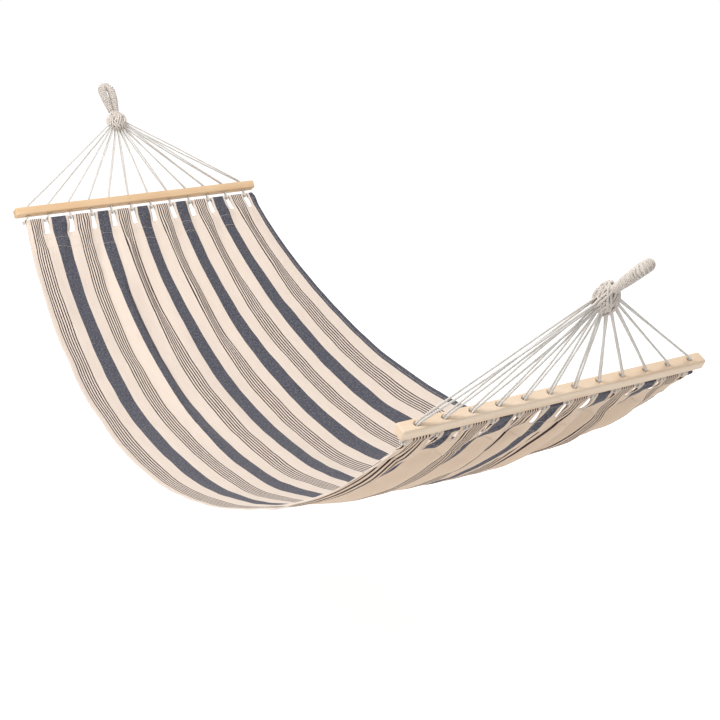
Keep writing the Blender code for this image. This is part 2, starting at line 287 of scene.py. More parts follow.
# ------------------------------------------------------------------- materials
class Nodes:
    """Short hand for building a material's node tree."""

    def __init__(self, name):
        self.material = bpy.data.materials.new(name)
        self.material.use_nodes = True
        self.tree = self.material.node_tree
        self.shader = self.tree.nodes["Principled BSDF"]

    def new(self, kind):
        return self.tree.nodes.new(kind)

    def put(self, socket, value):
        if isinstance(value, bpy.types.NodeSocket):
            self.tree.links.new(value, socket)
        else:
            socket.default_value = value

    def math(self, operation, *values):
        node = self.new("ShaderNodeMath")
        node.operation = operation
        for socket, value in zip(node.inputs, values):
            self.put(socket, value)
        return node.outputs[0]

    def times(self, a, b):
        return self.math("MULTIPLY", a, b)

    def plus(self, a, b):
        return self.math("ADD", a, b)

    def weighed(self, first, *rest):
        """Sum of (value, weight) pairs."""
        term = self.times(*first)
        return self.plus(term, self.weighed(*rest)) if rest else term

    def off_half(self, value):
        """Distance of a value from one half."""
        return self.math("ABSOLUTE", self.math("SUBTRACT", value, 0.5))

    def ramp(self, value, start, stop, first=0.0, last=1.0):
        """Smooth step from first to last while the value goes from start to stop."""
        node = self.new("ShaderNodeMapRange")
        node.interpolation_type = "SMOOTHSTEP"
        for key, setting in (("Value", value), ("From Min", start), ("From Max", stop),
                             ("To Min", first), ("To Max", last)):
            self.put(node.inputs[key], setting)
        return node.outputs["Result"]

    def mix(self, factor, a, b):
        node = self.new("ShaderNodeMix")
        node.data_type = "RGBA"
        node.clamp_factor = True
        self.put(node.inputs[0], factor)
        for socket, colour in ((node.inputs[6], a), (node.inputs[7], b)):
            is_socket = isinstance(colour, bpy.types.NodeSocket)
            self.put(socket, colour if is_socket else (*colour, 1.0))
        return node.outputs[2]

    def tint(self, colour, over, by, start, stop, most=1.0):
        """Lay a colour over another, up to a share, while `by` goes from start to stop."""
        return self.mix(self.ramp(by, start, stop, last=most), colour, over)

    def noise(self, vector, scale, detail=3.0, rough=0.5):
        node = self.new("ShaderNodeTexNoise")
        self.put(node.inputs["Vector"], vector)
        node.inputs["Scale"].default_value = scale
        node.inputs["Detail"].default_value = detail
        node.inputs["Roughness"].default_value = rough
        return node.outputs["Fac"]

    def streaks(self, *axes, detail=3.0, rough=0.5):
        """Noise with its own scale on each axis, given as (value, scale) or a bare value."""
        node_values = [self.times(*axis) if isinstance(axis, tuple) else axis for axis in axes]
        return self.noise(self.vector(*node_values), 1.0, detail, rough)

    def attribute(self, name):
        node = self.new("ShaderNodeAttribute")
        node.attribute_name = name
        return self.parts(node.outputs["Vector"])

    def parts(self, vector):
        node = self.new("ShaderNodeSeparateXYZ")
        self.put(node.inputs[0], vector)
        return node.outputs

    def vector(self, x, y, z):
        node = self.new("ShaderNodeCombineXYZ")
        for socket, value in zip(node.inputs, (x, y, z)):
            self.put(socket, value)
        return node.outputs[0]

    def bump(self, height, strength, distance, before=None):
        node = self.new("ShaderNodeBump")
        self.put(node.inputs["Height"], height)
        node.inputs["Strength"].default_value = strength
        node.inputs["Distance"].default_value = distance
        if before is not None:
            self.put(node.inputs["Normal"], before)
        return node.outputs["Normal"]

    def facing(self):
        """Parts of the face's own direction."""
        return self.parts(self.new("ShaderNodeNewGeometry").outputs["True Normal"])

    def place(self):
        return self.new("ShaderNodeTexCoord").outputs["Object"]

    def finish(self, colour, roughness, normal=None, sheen=0.0, specular=0.5):
        self.put(self.shader.inputs["Base Color"], colour)
        self.put(self.shader.inputs["Roughness"], roughness)
        if normal is not None:
            self.put(self.shader.inputs["Normal"], normal)
        self.shader.inputs["Sheen Weight"].default_value = sheen
        self.shader.inputs["Sheen Roughness"].default_value = 0.5
        self.shader.inputs["Specular IOR Level"].default_value = specular
        return self.material


def cord_material(name, light, dark, groove_shade):
    """Laid cotton: hairy yarns lying along each strand, with painted shade in the lay."""
    mat = Nodes(name)
    along, phase, tag = mat.attribute("fibre")
    groove = mat.off_half(mat.math("FRACT", phase))      # 0 in a groove, 0.5 on a strand's crown
    groove = mat.ramp(groove, start=0.22, stop=0.02)
    patches = mat.noise(mat.place(), scale=55.0, detail=4.0)
    hairs = mat.streaks((along, 420.0), (phase, 13.0), tag, detail=4.0, rough=0.65)
    tone = mat.weighed((patches, 0.55), (hairs, 0.45))
    colour = mat.tint(dark, light, by=tone, start=0.38, stop=0.66)
    # painted shade: the grooves between strands are darkened towards a shadow colour
    shadow = tuple(0.62 * channel for channel in dark)
    colour = mat.mix(mat.times(groove, groove_shade), colour, shadow)
    # five yarns to a strand, 260 turns to the metre
    yarn = mat.math("SINE", mat.weighed((phase, TAU * 5.0), (along, TAU * 260.0)))
    normal = mat.bump(mat.plus(mat.times(yarn, 0.5), hairs), strength=0.45, distance=0.0006)
    roughness = mat.ramp(hairs, start=0.2, stop=0.8, first=0.82, last=0.98)
    return mat.finish(colour, roughness, normal, sheen=0.25, specular=0.2)


def wood_material():
    """Pale, sanded hardwood with its grain along the bar."""
    mat = Nodes("pale_hardwood")
    x, y, z = mat.parts(mat.place())
    slow = mat.streaks((x, 9.0), (y, 1.6), (z, 9.0), detail=2.0)
    bent = mat.weighed((mat.plus(z, mat.times(x, 0.6)), 190.0), (slow, 9.0))
    rings = mat.plus(mat.times(mat.math("SINE", bent), 0.5), 0.5)
    rings = mat.math("POWER", rings, 2.2)
    fine = mat.streaks((x, 900.0), (y, 16.0), (z, 900.0), detail=4.0, rough=0.6)
    flecks = mat.streaks((x, 420.0), (y, 60.0), (z, 420.0), detail=2.0)
    patches = mat.streaks((x, 18.0), (y, 7.0), (z, 18.0))
    colour = mat.tint((0.74, 0.505, 0.29), (0.82, 0.60, 0.38), by=patches, start=0.3, stop=0.7)
    # the foot bar is paler
    colour = mat.tint(colour, (0.91, 0.775, 0.63), by=x, start=-0.5, stop=0.5, most=0.80)
    colour = mat.mix(mat.times(rings, 0.36), colour, (0.66, 0.42, 0.23))
    colour = mat.tint(colour, (0.60, 0.36, 0.18), by=fine, start=0.50, stop=0.72, most=0.30)
    colour = mat.tint(colour, (0.50, 0.28, 0.13), by=flecks, start=0.66, stop=0.76, most=0.45)
    # end grain, on faces that look along the bar, is darker
    end_on = mat.math("ABSOLUTE", mat.facing()[1])
    colour = mat.tint(colour, (0.62, 0.40, 0.235), by=end_on, start=0.75, stop=0.98, most=0.35)
    height = mat.weighed((fine, 1.0), (flecks, -0.5))
    normal = mat.bump(height, strength=0.25, distance=0.0004)
    roughness = mat.ramp(patches, start=0.3, stop=0.7, first=0.50, last=0.62)
    return mat.finish(colour, roughness, normal, specular=0.4)


CLOTH_PITCH = 0.0837           # cloth between neighbouring windows
PERIOD = 2.0 * CLOTH_PITCH     # one navy stripe, cream, one group of fine lines, cream
LINE_PITCH = 0.0081            # fine lines in a group
THREAD_PITCH = 0.0011          # one wave of the weave


def stripes(mat, across, along):
    """Masks of the navy stripes and of the fine dark lines."""
    # slubs make the stripes' edges waver by a thread or so
    waver = mat.streaks((across, 60.0), (along, 14.0), 0.0)
    shift = mat.times(mat.math("SUBTRACT", waver, 0.5), 0.0020)
    wavered = mat.plus(across, shift)
    turn = mat.math("FRACT", mat.plus(mat.math("DIVIDE", wavered, PERIOD), 100.5))
    from_navy = mat.times(mat.off_half(turn), PERIOD)                 # metres
    navy = mat.ramp(from_navy, start=0.0229, stop=0.0221)
    from_group = mat.math("SUBTRACT", PERIOD / 2.0, from_navy)
    in_line = mat.off_half(mat.math("FRACT", mat.math("DIVIDE", from_group, LINE_PITCH)))
    line = mat.ramp(in_line, start=0.262, stop=0.206)
    inside = mat.ramp(from_group, start=0.0243, stop=0.0239)
    return navy, mat.times(line, inside)


def cloth_material():
    """Striped plain weave: heathered navy, cream and groups of six fine lines."""
    mat = Nodes("striped_cotton")
    across, along, hem = mat.attribute("cloth")
    navy, lines = stripes(mat, across, along)

    warp = mat.math("SINE", mat.times(across, TAU / THREAD_PITCH))
    weft = mat.math("SINE", mat.times(along, TAU / THREAD_PITCH))
    weave = mat.times(warp, weft)
    grain = mat.streaks((across, 900.0), (along, 520.0), 0.0, rough=0.7)
    slub = mat.streaks((across, 60.0), (along, 900.0), 3.0, detail=2.0)
    slub_warp = mat.streaks((across, 800.0), (along, 22.0), 7.0, detail=2.0)
    blotch = mat.noise(mat.vector(across, along, 0.0), scale=9.0)
    fleck = mat.streaks((across, 230.0), (along, 150.0), 11.0, rough=0.6)

    tone = mat.weighed((grain, 0.6), (slub_warp, 0.4))
    cream = mat.tint((0.765, 0.645, 0.555), (0.865, 0.755, 0.665), by=tone, start=0.35, stop=0.65)
    cream = mat.tint(cream, (0.78, 0.65, 0.54), by=blotch, start=0.3, stop=0.7, most=0.14)
    cream = mat.tint(cream, (0.70, 0.585, 0.49), by=fleck, start=0.50, stop=0.30, most=0.20)
    # painted shade and painted light shining through the cloth: the side that faces down is
    # warmer and darker
    cream = mat.tint(cream, (0.80, 0.60, 0.425), by=mat.facing()[2],
                     start=0.02, stop=-0.22, most=0.62)

    heather = mat.weighed((grain, 0.62), (slub, 0.2), (slub_warp, 0.18))
    blue = mat.tint((0.042, 0.044, 0.068), (0.150, 0.148, 0.176), by=heather,
                    start=0.40, stop=0.64)
    blue = mat.tint(blue, (0.34, 0.33, 0.35), by=weave, start=0.4, stop=1.0, most=0.16)
    blue = mat.tint(blue, (0.235, 0.228, 0.245), by=fleck, start=0.51, stop=0.64, most=0.50)
    blue = mat.tint(blue, (0.032, 0.034, 0.052), by=fleck, start=0.49, stop=0.36, most=0.55)
    dark = mat.tint((0.034, 0.016, 0.020), (0.058, 0.031, 0.036), by=grain, start=0.35, stop=0.65)
    colour = mat.mix(navy, cream, blue)
    colour = mat.mix(lines, colour, dark)

    fold = mat.streaks((across, 75.0), (along, 14.0), 1.0)
    pucker = mat.streaks((across, 190.0), (along, 60.0), 5.0)
    normal = mat.bump(mat.plus(weave, mat.times(grain, 1.3)), strength=0.35, distance=0.0004)
    normal = mat.bump(mat.times(fold, 1.0), strength=0.22, distance=0.0030, before=normal)
    normal = mat.bump(mat.times(pucker, hem), strength=0.55, distance=0.0030, before=normal)
    roughness = mat.ramp(grain, start=0.3, stop=0.7, first=0.86, last=0.97)
    return mat.finish(colour, roughness, normal, sheen=0.15, specular=0.15)


def thread_material():
    mat = Nodes("sewing_thread")
    fuzz = mat.noise(mat.place(), scale=900.0)
    colour = mat.tint((0.62, 0.54, 0.46), (0.86, 0.78, 0.70), by=fuzz, start=0.35, stop=0.65)
    roughness = mat.ramp(fuzz, start=0.3, stop=0.7, first=0.7, last=0.9)
    normal = mat.bump(fuzz, strength=0.4, distance=0.0003)
    return mat.finish(colour, roughness, normal, specular=0.3)


# the last value sets how much painted shade lies in the grooves between strands
COTTON = {"light": (0.92, 0.885, 0.84), "dark": (0.83, 0.79, 0.74), "groove_shade": 0.35}
CORD = cord_material("cotton_cord", **COTTON)
WHIP = cord_material("whipping_cord", light=(0.92, 0.855, 0.79), dark=(0.82, 0.745, 0.68),
                     groove_shade=0.45)
HEM_CORD = cord_material("hem_cord", **COTTON)
WOOD = wood_material()
CLOTH = cloth_material()
THREAD = thread_material()

# ------------------------------------------------------------------------ bars
BAR_LOW, BAR_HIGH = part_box("head_spreader_bar")
BAR_LENGTH = float(BAR_HIGH.y - BAR_LOW.y)
BAR_WIDTH = 0.030              # square to the fan
BAR_DEPTH = 0.025              # along the fan, the way the holes run
BAR_EDGE = 0.0046              # rounding of its edges
BAR_FACE = BAR_DEPTH / 2.0
HOLE_RADIUS = 0.0058
# an eased mouth of a hole, from outside the bar inwards: distance from its middle, radius
HOLE_MOUTH = [(0.0200, 0.0096), (BAR_FACE + 0.0002, 0.0084), (BAR_FACE - 0.0006, 0.0074),
              (BAR_FACE - 0.0013, 0.0064), (BAR_FACE - 0.0024, HOLE_RADIUS)]


def hole_cutter(y, segments=28):
    """Turned shape of one drilled hole with both mouths eased."""
    profile = [(-z, radius) for z, radius in HOLE_MOUTH] + HOLE_MOUTH[::-1]
    bm = bmesh.new()
    rings = []
    for z, radius in profile:
        angles = [TAU * k / segments for k in range(segments)]
        rings.append([bm.verts.new((radius * math.cos(angle), y + radius * math.sin(angle), z))
                      for angle in angles])
    for lower, upper in zip(rings, rings[1:]):
        for j in range(segments):
            k = (j + 1) % segments
            bm.faces.new((lower[j], lower[k], upper[k], upper[j]))
    bm.faces.new(rings[0][::-1])
    bm.faces.new(rings[-1])
    mesh = bpy.data.meshes.new("hole_cutter")
    bm.to_mesh(mesh)
    bm.free()
    return link_object("hole_cutter", mesh)


def drill(obj, group_name):
    """Cut the row of holes through a bar."""
    cutters = [hole_cutter(hole_y(i)) for i in range(HOLES)]
    group = bpy.data.collections.new(group_name)
    for cutter in cutters:
        group.objects.link(cutter)
    cut = obj.modifiers.new("holes", "BOOLEAN")
    cut.operation = "DIFFERENCE"
    cut.operand_type = "COLLECTION"
    cut.collection = group
    cut.solver = "EXACT"
    mesh = bake_modifiers(obj)
    for cutter in cutters:
        bpy.data.objects.remove(cutter, do_unlink=True)
    bpy.data.collections.remove(group)
    return mesh


def bar_piece(end):
    bm = bmesh.new()
    bmesh.ops.create_cube(bm, size=1.0)
    bmesh.ops.scale(bm, vec=(BAR_WIDTH, BAR_LENGTH, BAR_DEPTH), verts=bm.verts)
    bmesh.ops.bevel(bm, geom=bm.edges[:], offset=BAR_EDGE, segments=5, profile=0.5,
                    affect="EDGES")
    mesh = bpy.data.meshes.new(end.name + "_bar")
    bm.to_mesh(mesh)
    bm.free()
    obj = link_object(end.name + "_bar", mesh)
    mesh = drill(obj, "cut_" + end.name)
    mesh.materials.clear()
    mesh.materials.append(WOOD)
    mesh.shade_smooth()
    mesh.set_sharp_from_angle(angle=math.radians(32.0))
    turn = Matrix(((end.up[0], 0.0, end.fan[0], end.bar[0]),
                   (0.0, 1.0, 0.0, 0.0),
                   (end.up[2], 0.0, end.fan[2], end.bar[2]),
                   (0.0, 0.0, 0.0, 1.0)))
    if turn.to_3x3().determinant() < 0.0:       # a mirrored frame would turn the faces inside out
        turn = turn @ Matrix.Diagonal((-1.0, 1.0, 1.0, 1.0))
    mesh.transform(turn)
    attach(obj, end.name + "_fan", end.name + "_spreader_bar")


for END in ENDS:
    bar_piece(END)

# ----------------------------------------------------------------------- cords
STRAND_RADIUS = 0.00262
STRAND_X = 0.0028              # the two strands of a cord lie this far either side of its hole
CORD_START = 0.0225            # from the knot's middle to where strands leave it
FAN_SPREAD = math.radians(75.0)    # where the outermost cord leaves the knot
BIGHT_RADIUS = 0.0063          # the turn under the hem cord
# shift along Y from hole to hem, by cord; the first cords spread outwards
HEM_SHIFT = {"head": {0: -0.0200, 1: -0.0190, 2: -0.0040}, "foot": {0: -0.0160, 1: -0.0060}}


def hem_place(end, i):
    return hole_y(i) + HEM_SHIFT[end.name].get(i, 0.0)


def strand_path(end, i, side, rng):
    """One strand, from the knot through the bar to the bottom of the hem cord."""
    y, y_hem = hole_y(i), hem_place(end, i)
    # strands leave the knot at different levels
    level = math.radians(rng.uniform(-14.0, 14.0))
    spread = FAN_SPREAD * y / hole_y(HOLES - 1) + math.radians(rng.uniform(-4.0, 4.0))
    apart = side * (0.0042 + 0.0030 * rng.random())
    start = np.array([apart + CORD_START * math.sin(level) * 0.6,
                      CORD_START * math.sin(spread),
                      end.reach - CORD_START * math.cos(spread) * math.cos(level)])
    mouth = np.array([side * STRAND_X, y, 0.0150])
    bow_x, bow_y = rng.uniform(-0.0022, 0.0022, 2)
    path = []
    for k in range(13):
        part = k / 12.0
        wobble = side * 0.0006 * math.sin(3.0 * math.pi * part + i)
        bow = np.array([bow_x + wobble, bow_y, 0.0]) * math.sin(math.pi * part)
        path.append(start * (1.0 - part) + mouth * part + bow)
    path += [(side * STRAND_X, y, 0.0), (side * STRAND_X, y, -0.0140),
             (side * 0.0040, y + 0.35 * (y_hem - y), -end.drop + 0.0105)]
    for k in range(9):
        angle = math.pi / 2.0 * k / 8.0
        path.append((side * BIGHT_RADIUS * math.cos(angle), y_hem,
                     -end.drop - BIGHT_RADIUS * math.sin(angle)))
    return path


def cord_piece(end, i):
    rng = np.random.default_rng(100 * (end is FOOT) + i)
    low, high = [strand_path(end, i, side, rng) for side in (-1.0, 1.0)]
    # one strand runs on into the other under the hem cord
    whole = corner_cut(high + low[::-1][1:], rounds=3)
    skin = rope(np.array([end.at(*point) for point in whole]), radius=STRAND_RADIUS,
                pitch=0.0125, step=0.00125, depth=0.30, turn=rng.uniform(0.0, 6.0))
    rope_object("%s_rope_%02d" % (end.name, i + 1), [skin], CORD, end.name + "_fan",
                "%s_cord_%02d" % (end.name, i + 1))


for END in ENDS:
    for I in range(HOLES):
        cord_piece(END, I)

# ------------------------------------------------------------------- hem cords
HEM_CORD_HALF = 0.385


def hem_cord_piece(end):
    ys = np.linspace(-HEM_CORD_HALF, HEM_CORD_HALF, 160)
    path = np.stack([np.full_like(ys, end.hem[0]), ys, np.full_like(ys, end.hem[2])], 1)
    skin = rope(path, radius=0.0031, pitch=0.0140, step=0.0016, depth=0.28)
    rope_object(end.name + "_hem_rope", [skin], HEM_CORD, "bed",
                end.name + "_hem_cord")


for END in ENDS:
    hem_cord_piece(END)

# ----------------------------------------------------------------------- knots
KNOT_LEADS, KNOT_BIGHTS = 4, 7
KNOT_POINTS = 1600
KNOT_RADIUS = 0.0262
KNOT_WEAVE = 0.0021            # how far a turn rises over or dips under another
KNOT_PAIR = 0.0031             # half the distance between the two ropes of a turn
# stretch in and up, along Y and along the fan; shift back along the fan
KNOT_STRETCH = {"head": np.array([0.96, 1.06, 1.12]), "foot": np.array([0.88, 0.93, 1.34])}
KNOT_BACK = {"head": 0.0030, "foot": 0.0070}


def on_sphere(latitude, longitude):
    return np.stack([np.cos(latitude) * np.cos(longitude), np.cos(latitude) * np.sin(longitude),
                     np.sin(latitude)], 1)


def over_under(line):
    """+1 to -1 along a closed line, so that it passes over and under itself in turn."""
    count = len(line)
    crossings = []                     # (point, distance to the other pass)
    for i in range(count):
        distance = np.linalg.norm(line - line[i], axis=1)
        steps_away = np.abs((np.arange(count) - i + count // 2) % count - count // 2)
        distance[steps_away < 25] = 9.0
        nearest = distance.min()
        if nearest >= 0.012:
            continue
        if crossings and i - crossings[-1][0] < 8:
            if nearest < crossings[-1][1]:
                crossings[-1] = (i, nearest)
        else:
            crossings.append((i, nearest))
    places = np.array([i for i, _ in crossings], float)
    signs = np.array([1.0 if k % 2 == 0 else -1.0 for k in range(len(crossings))])
    wave = np.interp(np.arange(count), np.r_[places[-1] - count, places, places[0] + count],
                     np.r_[signs[-1], signs, signs[0]])
    return np.sin(wave * math.pi / 2.0)


def knot_piece(end):
    """Interlaced turns of doubled rope over a ball of rope, longer along the fan."""
    angle = np.linspace(0.0, TAU, KNOT_POINTS, endpoint=False)
    line = on_sphere(math.radians(66.0) * np.cos(KNOT_BIGHTS * angle), KNOT_LEADS * angle)
    wave = over_under(line)
    tangent = np.roll(line, -1, 0) - np.roll(line, 1, 0)
    tangent /= np.linalg.norm(tangent, axis=1)[:, None]
    sideways = np.cross(line, tangent)
    stretch = KNOT_STRETCH[end.name]
    centre = end.knot - KNOT_BACK[end.name] * end.fan
    basis = np.stack([end.up, Y, end.fan], 0)
    parts = []
    for offset in (-KNOT_PAIR, KNOT_PAIR):
        radius = KNOT_RADIUS + KNOT_WEAVE * wave
        path = line * radius[:, None] * stretch + sideways * offset
        parts.append(rope(centre + path @ basis, radius=0.0030, pitch=0.0120, step=0.0013,
                          closed=True))
    # ball of turns underneath, which closes the gaps between the outer turns
    for k in range(3):
        tilt = 0.9 * k + 0.4
        part = np.linspace(0.0, 1.0, 260)
        path = on_sphere((part - 0.5) * math.pi * 0.94, part * TAU * 7.0 + tilt)
        path = path * (0.0218 - 0.0012 * k)
        turn = np.array(Matrix.Rotation(tilt, 3, Vector((1.0, 0.4 * k, 0.2))))
        path = path @ turn.T * stretch * np.array([1.02, 1.02, 0.98])
        parts.append(rope(centre + path @ basis, radius=0.0036, pitch=0.0140, step=0.0022,
                          sides=9, depth=0.22))
    rope_object(end.name + "_knot_turns", parts, WHIP, end.name + "_clew",
                end.name + "_clew_knot")


for END in ENDS:
    knot_piece(END)

# ------------------------------------------------------------------------ eyes
EYE_LEG = 0.0760               # from the throat to where the crown begins
THROAT_HALF = 0.0088           # half width at the throat
EYE_HALF = 0.0158              # half width at the crown
EYE_SET = 0.0060               # how far the crown leans back
EYE_TURN = {"head": math.radians(4.0), "foot": math.radians(-21.0)}    # about its own axis
WINDING_PITCH = 0.0061
BUNDLE_RADIUS = 0.0072
EYE_SEED = {"head": 7, "foot": 8}


def eye_line(start, count):
    """Middle line of the eye, up one leg, round the crown and down the other."""
    zs = np.linspace(start, EYE_LEG, 160)
    rise = np.clip(zs, 0.0, None) / EYE_LEG
    half = THROAT_HALF + (EYE_HALF - THROAT_HALF) * np.sin(math.pi / 2.0 * rise) ** 1.2
    half = half - 0.25 * np.clip(-zs, 0.0, None)       # the legs close up inside the knot
    leg = np.stack([np.zeros_like(zs), -half, zs], 1)
    angle = np.linspace(0.0, math.pi, 90)[1:-1]
    crown = np.stack([np.zeros_like(angle), -EYE_HALF * np.cos(angle),
                      EYE_LEG + EYE_HALF * np.sin(angle)], 1)
    line = resample(np.vstack([leg, crown, leg[::-1] * (1, -1, 1)]), count=count)
    line[:, 0] -= EYE_SET * np.clip(line[:, 2] / (EYE_LEG + EYE_HALF), 0.0, 1.0) ** 2
    return line


def eye_winding(end):
    """Path of the whipping around the eye."""
    line = eye_line(0.0, count=900)
    run = run_lengths(line)
    turns = run[-1] / WINDING_PITCH
    tangents, normals = path_frames(line)
    binormals = np.cross(tangents, normals)
    along = np.linspace(0.0, run[-1], int(turns * 40))
    turn = along / WINDING_PITCH
    # hand-wound turns are never quite even
    uneven = np.random.default_rng(EYE_SEED[end.name]).normal(0.0, 1.0, int(turns) + 3)
    turn_numbers = np.arange(len(uneven))
    shifted = np.clip(along + 0.00035 * np.interp(turn, turn_numbers, uneven), 0.0, run[-1])
    fatness = smoothstep(np.interp(shifted, run, line[:, 2]) / 0.055)
    radius = (0.0066 + 0.0030 * fatness
              + 0.00020 * np.interp(turn, turn_numbers, uneven[::-1]))[:, None]
    angle = (TAU * along / WINDING_PITCH)[:, None]
    return (sample(line, run, shifted)
            + radius * (np.cos(angle) * sample(normals, run, shifted)
                        + np.sin(angle) * sample(binormals, run, shifted)))


def bundle_taper(part):
    """Thickness of the bundle inside the whipping, as a share of its full radius."""
    return (0.0046 + 0.0042 * smoothstep(np.minimum(part, 1.0 - part) / 0.30)) / BUNDLE_RADIUS


def eye_piece(end):
    turn = EYE_TURN[end.name]
    basis = np.stack([math.cos(turn) * end.eye_up + math.sin(turn) * Y,
                      -math.sin(turn) * end.eye_up + math.cos(turn) * Y, end.eye], 0)
    winding = rope(end.throat + eye_winding(end) @ basis, radius=0.0031, pitch=0.0105,
                   step=0.0013)
    rope_object(end.name + "_eye_whipping_turns", [winding], WHIP, "hooked_eyes",
                end.name + "_eye_whipping")
    bundle = rope(end.throat + eye_line(-0.0070, count=200) @ basis, radius=BUNDLE_RADIUS,
                  pitch=0.0300, step=0.0024, sides=15, lobes=5, depth=0.12, taper=bundle_taper)
    rope_object(end.name + "_eye_bundle", [bundle], WHIP, "hooked_eyes",
                end.name + "_eye_core")


for END in ENDS:
    eye_piece(END)

# ------------------------------------------------------------------- the bed
HEM_WIDTH, MID_WIDTH = 0.782, 0.954
SAG = 0.3945                   # of the middle line, hem to lowest point
BELLY = 0.065                  # how far the middle hangs below the side edges
CATENARY = 1.36
HEM_DOWN = BAR_Z - (HEAD.hem[2] + FOOT.hem[2]) / 2.0
CHORD = FOOT.hem[0] - HEAD.hem[0]
FRONT_EDGE, BACK_EDGE = -0.4590, 0.4990          # across the flat cloth
HEM_FRONT, HEM_BACK = -0.3745, 0.3885            # the same edges, gathered on the hem cord
WINDOW_HALF, HEM_WINDOW_HALF = 0.0098, 0.0078    # flat, and gathered
WINDOW_DEPTH, HEM_DEPTH = 0.048, 0.110
ROW_STEP = 0.0157
HEM_ROWS = [0.0, 0.012, 0.024, 0.036, 0.048, 0.060, 0.0765, 0.0935]   # inwards from the cord
CORD_GAP, FLAT_GAP = 0.0047, 0.00068             # half the distance between a hem's layers


def surface(travel, y_hem, y_mid):
    """Smooth sheet: travel from -1 at the head hem to 1 at the foot hem; y_hem and
    y_mid are where a warp thread lies across the hem and across the widest part."""
    arch = np.clip(np.sin(np.pi * ((travel + 1.0) / 2.0)), 0.0, None)
    edge = math.cosh(CATENARY)
    curve = (np.cosh(CATENARY * travel) - edge) / (edge - 1.0)
    y = y_hem * (1.0 - arch) + y_mid * arch
    width = HEM_WIDTH + (MID_WIDTH - HEM_WIDTH) * arch
    across = np.clip(2.0 * y / width, -1.0, 1.0)
    z = (BAR_Z - HEM_DOWN - RISE / 2.0 * travel + SAG * curve
         - BELLY * arch ** 0.8 * (1.0 - across * across))
    return np.stack([MIDDLE_X + travel * CHORD / 2.0, y, z], -1)


def cloth_columns():
    """Cloth coordinate of each column, and whether the cell after it is a window."""
    cols, window = [], []

    def add(start, stop, cells, is_window):
        for k in range(cells):
            cols.append(start + (stop - start) * k / cells)
            window.append(is_window)

    start = FRONT_EDGE
    for i in range(1, HOLES):
        centre = from_centre(i) * CLOTH_PITCH
        add(start, centre - WINDOW_HALF, 11, False)
        start = centre + WINDOW_HALF
        add(centre - WINDOW_HALF, start, 2, True)
    add(start, BACK_EDGE, 5, False)
    cols.append(BACK_EDGE)
    return np.array(cols), np.array(window)


COLS, WINDOW = cloth_columns()
COL_COUNT = len(COLS)


def hem_map(end):
    """Where each column lies across the hem."""
    flat, gathered = [FRONT_EDGE], [HEM_FRONT]
    for i in range(1, HOLES):
        centre = from_centre(i) * CLOTH_PITCH
        y = hem_place(end, i)
        flat += [centre - WINDOW_HALF, centre + WINDOW_HALF]
        gathered += [y - HEM_WINDOW_HALF, y + HEM_WINDOW_HALF]
    return np.interp(COLS, flat + [BACK_EDGE], gathered + [HEM_BACK])


def spread_evenly(width):
    return np.interp(COLS, [FRONT_EDGE, BACK_EDGE], [-width / 2.0, width / 2.0])


def layer_gap(near):
    """Half the distance between the two layers of the hem, by distance from the hem cord."""
    closing = np.clip(1.0 - near / 0.052, 0.0, 1.0)
    return FLAT_GAP + (CORD_GAP - FLAT_GAP) * closing ** 1.3


def row_table():
    """Rows of the sheet: distance from the head hem, travel, and the whole length."""
    travel = np.linspace(-1.0, 1.0, 4001)
    zeros = np.zeros_like(travel)
    run = run_lengths(surface(travel, zeros, zeros))
    total = run[-1]
    inner_count = int(round((total - 2.0 * HEM_DEPTH) / ROW_STEP)) + 1
    inner = np.linspace(HEM_DEPTH, total - HEM_DEPTH, inner_count)
    dist = np.array(HEM_ROWS + list(inner) + [total - row for row in HEM_ROWS][::-1])
    return dist, np.interp(dist, run, travel), total


def target_grid(dist, travel, total):
    # the hem's own spacing of the tabs gives way to an even spread further in
    near = np.clip(1.0 - np.minimum(dist, total - dist) / 0.45, 0.0, 1.0)[:, None] ** 1.5
    y_hem = np.where(travel[:, None] < 0.0, hem_map(HEAD)[None, :], hem_map(FOOT)[None, :])
    y_hem = y_hem * near + spread_evenly(HEM_WIDTH)[None, :] * (1.0 - near)
    return surface(np.broadcast_to(travel[:, None], y_hem.shape), y_hem,
                   np.broadcast_to(spread_evenly(MID_WIDTH)[None, :], y_hem.shape))


def grid_normals(grid):
    normals = np.cross(np.gradient(grid, axis=0), np.gradient(grid, axis=1))
    return normals / np.linalg.norm(normals, axis=2)[..., None]


def soft_noise(rows, cells, seed):
    """Smooth random field on the grid, between about -1 and 1."""
    coarse = np.random.default_rng(seed).normal(0.0, 1.0, (cells[0] + 3, cells[1] + 3))

    def spline(count, cell_count):
        """First knot and the four cubic B-spline weights at each place."""
        place = np.linspace(0.0, cell_count, count)
        knot = np.floor(place).astype(int)
        x = place - knot
        return knot, np.stack([(1 - x) ** 3 / 6.0, (3 * x ** 3 - 6 * x ** 2 + 4) / 6.0,
                               (-3 * x ** 3 + 3 * x ** 2 + 3 * x + 1) / 6.0, x ** 3 / 6.0], 0)

    row_knot, row_weight = spline(rows, cells[0])
    col_knot, col_weight = spline(COL_COUNT, cells[1])
    field = np.zeros((rows, COL_COUNT))
    for i in range(4):
        for j in range(4):
            values = coarse[np.minimum(row_knot + i, cells[0] + 2)]
            values = values[:, np.minimum(col_knot + j, cells[1] + 2)]
            field += row_weight[i][:, None] * col_weight[j][None, :] * values
    return field


